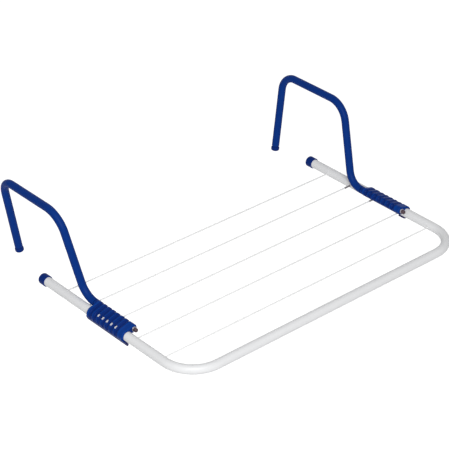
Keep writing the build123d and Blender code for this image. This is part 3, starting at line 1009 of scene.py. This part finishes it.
def clip_mesh():
    """Ribbed double-lobe clip in its own frame: arm axis at the origin, rear face at 0."""
    ribbed = grow(clip_blank(), grooves_tree(), {
        "Groove Count": GROOVE_COUNT, "Pitch": RIB_PITCH * MM, "First Groove": FIRST_GROOVE * MM,
        "Floor Width": GROOVE_FLOOR * MM, "Top Width": GROOVE_TOP * MM, "Depth": RIB_HEIGHT * MM,
        "Material": BLUE_MOULDED})
    body = carve(ribbed, "UNION", boss_mesh())
    body = carve(body, "DIFFERENCE", mouth_tool())
    body = carve(body, "UNION", lip_mesh())
    body = carve(body, "UNION", claw_mesh())
    for x, z, radius, sides in ((0, 0, TUBE_BORE, TUBE_BORE_SIDES),
                                (ROD_INSET, ROD_RISE, ROD_BORE, ROD_BORE_SIDES)):
        bore = bar_mesh((x, BORE_OVERRUN, z), (x, -LIP_FRONT - BORE_OVERRUN, z), radius, sides)
        body = carve(body, "DIFFERENCE", bore)
    windows = [window_tool(FIRST_WINDOW + number * RIB_PITCH) for number in range(WINDOW_COUNT)]
    return shade_lip(carve(body, "DIFFERENCE", together("windows", windows)))


def shade_lip(mesh):
    """Mark the lip and the claw for a darker painted shade; they stand in the clip's mouth and before
    its front face.
    """
    first, last = LIP_SECTOR
    for point, mark in zip(mesh.vertices, mesh.attributes["groove"].data):
        x, y, z = point.co / MM
        if y < -CLIP_LENGTH or first < math.degrees(math.atan2(z, x)) % 360 < last:
            mark.value = LIP_MARK
    return mesh


# ------------------------------------------------------------- pieces and nodes
piece("frame_tube_bent", frame_tube_mesh(), WHITE_COAT, "frame", "white_powder_coat", "frame_tube")
wires = grow(wire_places("wire_places", 0, WIRE_SETBACKS), wires_tree(), {
    "Wire Radius": WIRE_RADIUS * MM, "Half Span": (ARM_X - WIRE_SHORT) * MM, "Material": WIRE_COAT})
piece("drying_wires", wires, WIRE_COAT, "frame", "wire_coating",
      *[f"drying_wire_{number}" for number in range(1, len(WIRE_SETBACKS) + 1)])
# Dark collars on two wires: painted shadow and reflection of the hook and clip.
piece("wire_collars", wire_shadow_mesh(), WIRE_SHADOW_GREY, "frame", "wire_coating")

clips = {"left": clip_mesh()}
clips["right"] = mirrored(clips["left"])
for side, direction in SIDES.items():
    cap = arm_cap_mesh()
    cap.transform(Matrix.Translation((direction * ARM_X * MM, 0, 0)))
    piece(f"arm_cap_{side}_domed", cap, BLUE_MOULDED, "frame", "blue_plastic", f"arm_cap_{side}")

    clip = f"clip_{side}"
    clips[side].transform(Matrix.Translation((direction * ARM_X * MM, -CLIP_SETBACK[side] * MM, 0)))
    piece(f"clip_{side}_ribbed", clips[side], BLUE_MOULDED, clip, "blue_plastic", clip)

    hook = f"hook_{side}"
    piece(f"hook_sleeve_{side}_bowed", sleeve_mesh(side), BLUE_SLEEVE, hook, "blue_sleeve",
          f"hook_sleeve_{side}")
    piece(f"hook_rod_{side}_bent", rod_mesh(side), DARK_STEEL, hook, "dark_steel", f"hook_rod_{side}")
    piece(f"hook_plug_{side}_turned", placed_plug(side), BLUE_MOULDED, hook, "blue_plastic",
          f"hook_end_cap_{side}")

for name in ("wire_ferrules", "rod_retainer_left", "rod_retainer_right"):
    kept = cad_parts[name]
    kept.data.materials.clear()
    kept.data.materials.append(ZINC)


# ------------------------------------------------------- floor, light and camera
# Places and sizes are in metres here, but for the lens and its sensor.
FLOOR_DROP = 0.55
FLOOR_HALF = 9.0
FLOOR_SHADE = 0.9
FLOOR_ROUGHNESS = 0.9
FLOOR_GLOW = 0.70          # its own light as the camera sees it, none on the airer
WORLD_LEVEL = 0.28         # light of the surroundings on the airer; the camera sees them white
KEY_POWER = 57.0
KEY_SIZE = 1.5
KEY_PLACE = Vector((-1.35, -1.75, 1.7))

CAMERA_AZIMUTH = math.radians(-41.08)
CAMERA_ELEVATION = math.radians(31.17)
CAMERA_DISTANCE = 2.739
CAMERA_LENS = 145.61
SENSOR_WIDTH = 36.0
CAMERA_TARGET = Vector((0.04324, -0.04655, -0.01103))


def seen_directly(tree):
    """1 for camera, glossy and transmission rays, 0 for light that reaches the object."""
    path = tree.nodes.new("ShaderNodeLightPath").outputs
    seen = maths(tree, "ADD", path["Is Camera Ray"], path["Is Glossy Ray"])
    seen = maths(tree, "ADD", seen, path["Is Transmission Ray"])
    return maths(tree, "MINIMUM", seen, 1.0)


def pale_floor():
    """Plain white floor well below the hanging airer; it keeps the airer's soft shadow."""
    material = bpy.data.materials.new("pale_floor")
    material.use_nodes = True
    tree = material.node_tree
    shader = tree.nodes["Principled BSDF"]
    shader.inputs["Base Color"].default_value = (FLOOR_SHADE, FLOOR_SHADE, FLOOR_SHADE, 1)
    shader.inputs["Roughness"].default_value = FLOOR_ROUGHNESS
    shader.inputs["Specular IOR Level"].default_value = 0.0
    shader.inputs["Emission Color"].default_value = (1, 1, 1, 1)
    tree.links.new(maths(tree, "MULTIPLY", seen_directly(tree), FLOOR_GLOW),
                   shader.inputs["Emission Strength"])
    half = FLOOR_HALF / MM
    drop = -FLOOR_DROP / MM
    mesh = mesh_of("floor", [(-half, -half, drop), (half, -half, drop), (half, half, drop),
                             (-half, half, drop)], [(0, 1, 2, 3)])
    mesh.materials.append(material)
    floor = bpy.data.objects.new("floor", mesh)
    scene.collection.objects.link(floor)


def studio_light():
    """White surroundings and one large soft lamp."""
    world = bpy.data.worlds.new("studio")
    scene.world = world
    world.use_nodes = True
    tree = world.node_tree
    background = tree.nodes["Background"]
    background.inputs["Color"].default_value = (1, 1, 1, 1)
    strength = mapped(tree, seen_directly(tree), (0.0, 1.0), (WORLD_LEVEL, 1.0))
    tree.links.new(strength, background.inputs["Strength"])
    lamp = bpy.data.lights.new("key", "AREA")
    lamp.energy = KEY_POWER
    lamp.size = KEY_SIZE
    key = bpy.data.objects.new("key", lamp)
    scene.collection.objects.link(key)
    key.location = KEY_PLACE
    key.rotation_euler = (CAMERA_TARGET - KEY_PLACE).to_track_quat("-Z", "Y").to_euler()


def set_camera():
    """Camera at the viewing angle of the airer, from in front, left and above."""
    data = bpy.data.cameras.new("camera")
    data.lens = CAMERA_LENS
    data.sensor_width = SENSOR_WIDTH
    data.clip_end = 50
    camera = bpy.data.objects.new("camera", data)
    scene.collection.objects.link(camera)
    a, e = CAMERA_AZIMUTH, CAMERA_ELEVATION
    back = Vector((math.sin(a) * math.cos(e), -math.cos(a) * math.cos(e), math.sin(e)))
    right = Vector((math.cos(a), math.sin(a), 0))
    place = Matrix((right, back.cross(right), back)).transposed().to_4x4()
    place.translation = CAMERA_TARGET + back * CAMERA_DISTANCE
    camera.matrix_world = place
    scene.camera = camera


pale_floor()
studio_light()
set_camera()
scene.view_settings.view_transform = "Standard"
